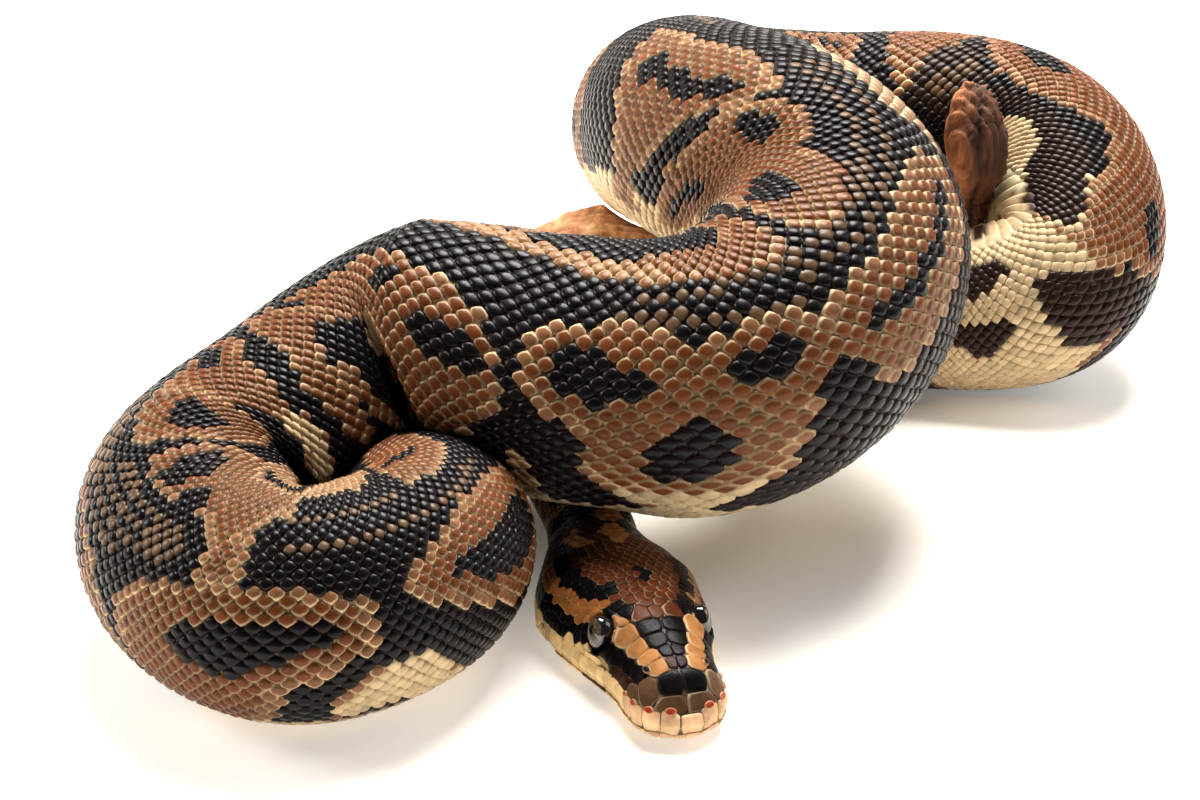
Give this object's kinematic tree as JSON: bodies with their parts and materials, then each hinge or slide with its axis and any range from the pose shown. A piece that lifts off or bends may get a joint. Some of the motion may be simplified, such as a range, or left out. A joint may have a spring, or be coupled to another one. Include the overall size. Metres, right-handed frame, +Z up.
{
  "type": "coiled ball python",
  "caption": "Ball python lying coiled in a loose knot, head resting on the floor in front, with a short stump of driftwood between its rear coils.",
  "frame": {"origin": "centre of the bounding box in plan, at the floor the coils rest on", "axes": "+Z up from the floor; +Y from the snout, which lies in front, back to the rear coil; +X to the viewer's right when facing the snout"},
  "size_m": [0.2324, 0.2535, 0.0879],
  "materials": {
    "head_scales": "satin scales",
    "jaw_scales": "satin scales",
    "body_scales": "smooth glossy scales",
    "eye": "glossy",
    "driftwood": "dry, fibrous"
  },
  "bodies": {
    "root": {"head": "head_scales", "lower_jaw": "jaw_scales", "eye_left": "eye", "eye_right": "eye", "neck": "body_scales", "trunk_1": "body_scales", "trunk_2": "body_scales", "trunk_3": "body_scales", "trunk_4": "body_scales", "trunk_5": "body_scales", "trunk_6": "body_scales", "tail": "body_scales", "driftwood": "driftwood"}
  },
  "joints": []
}
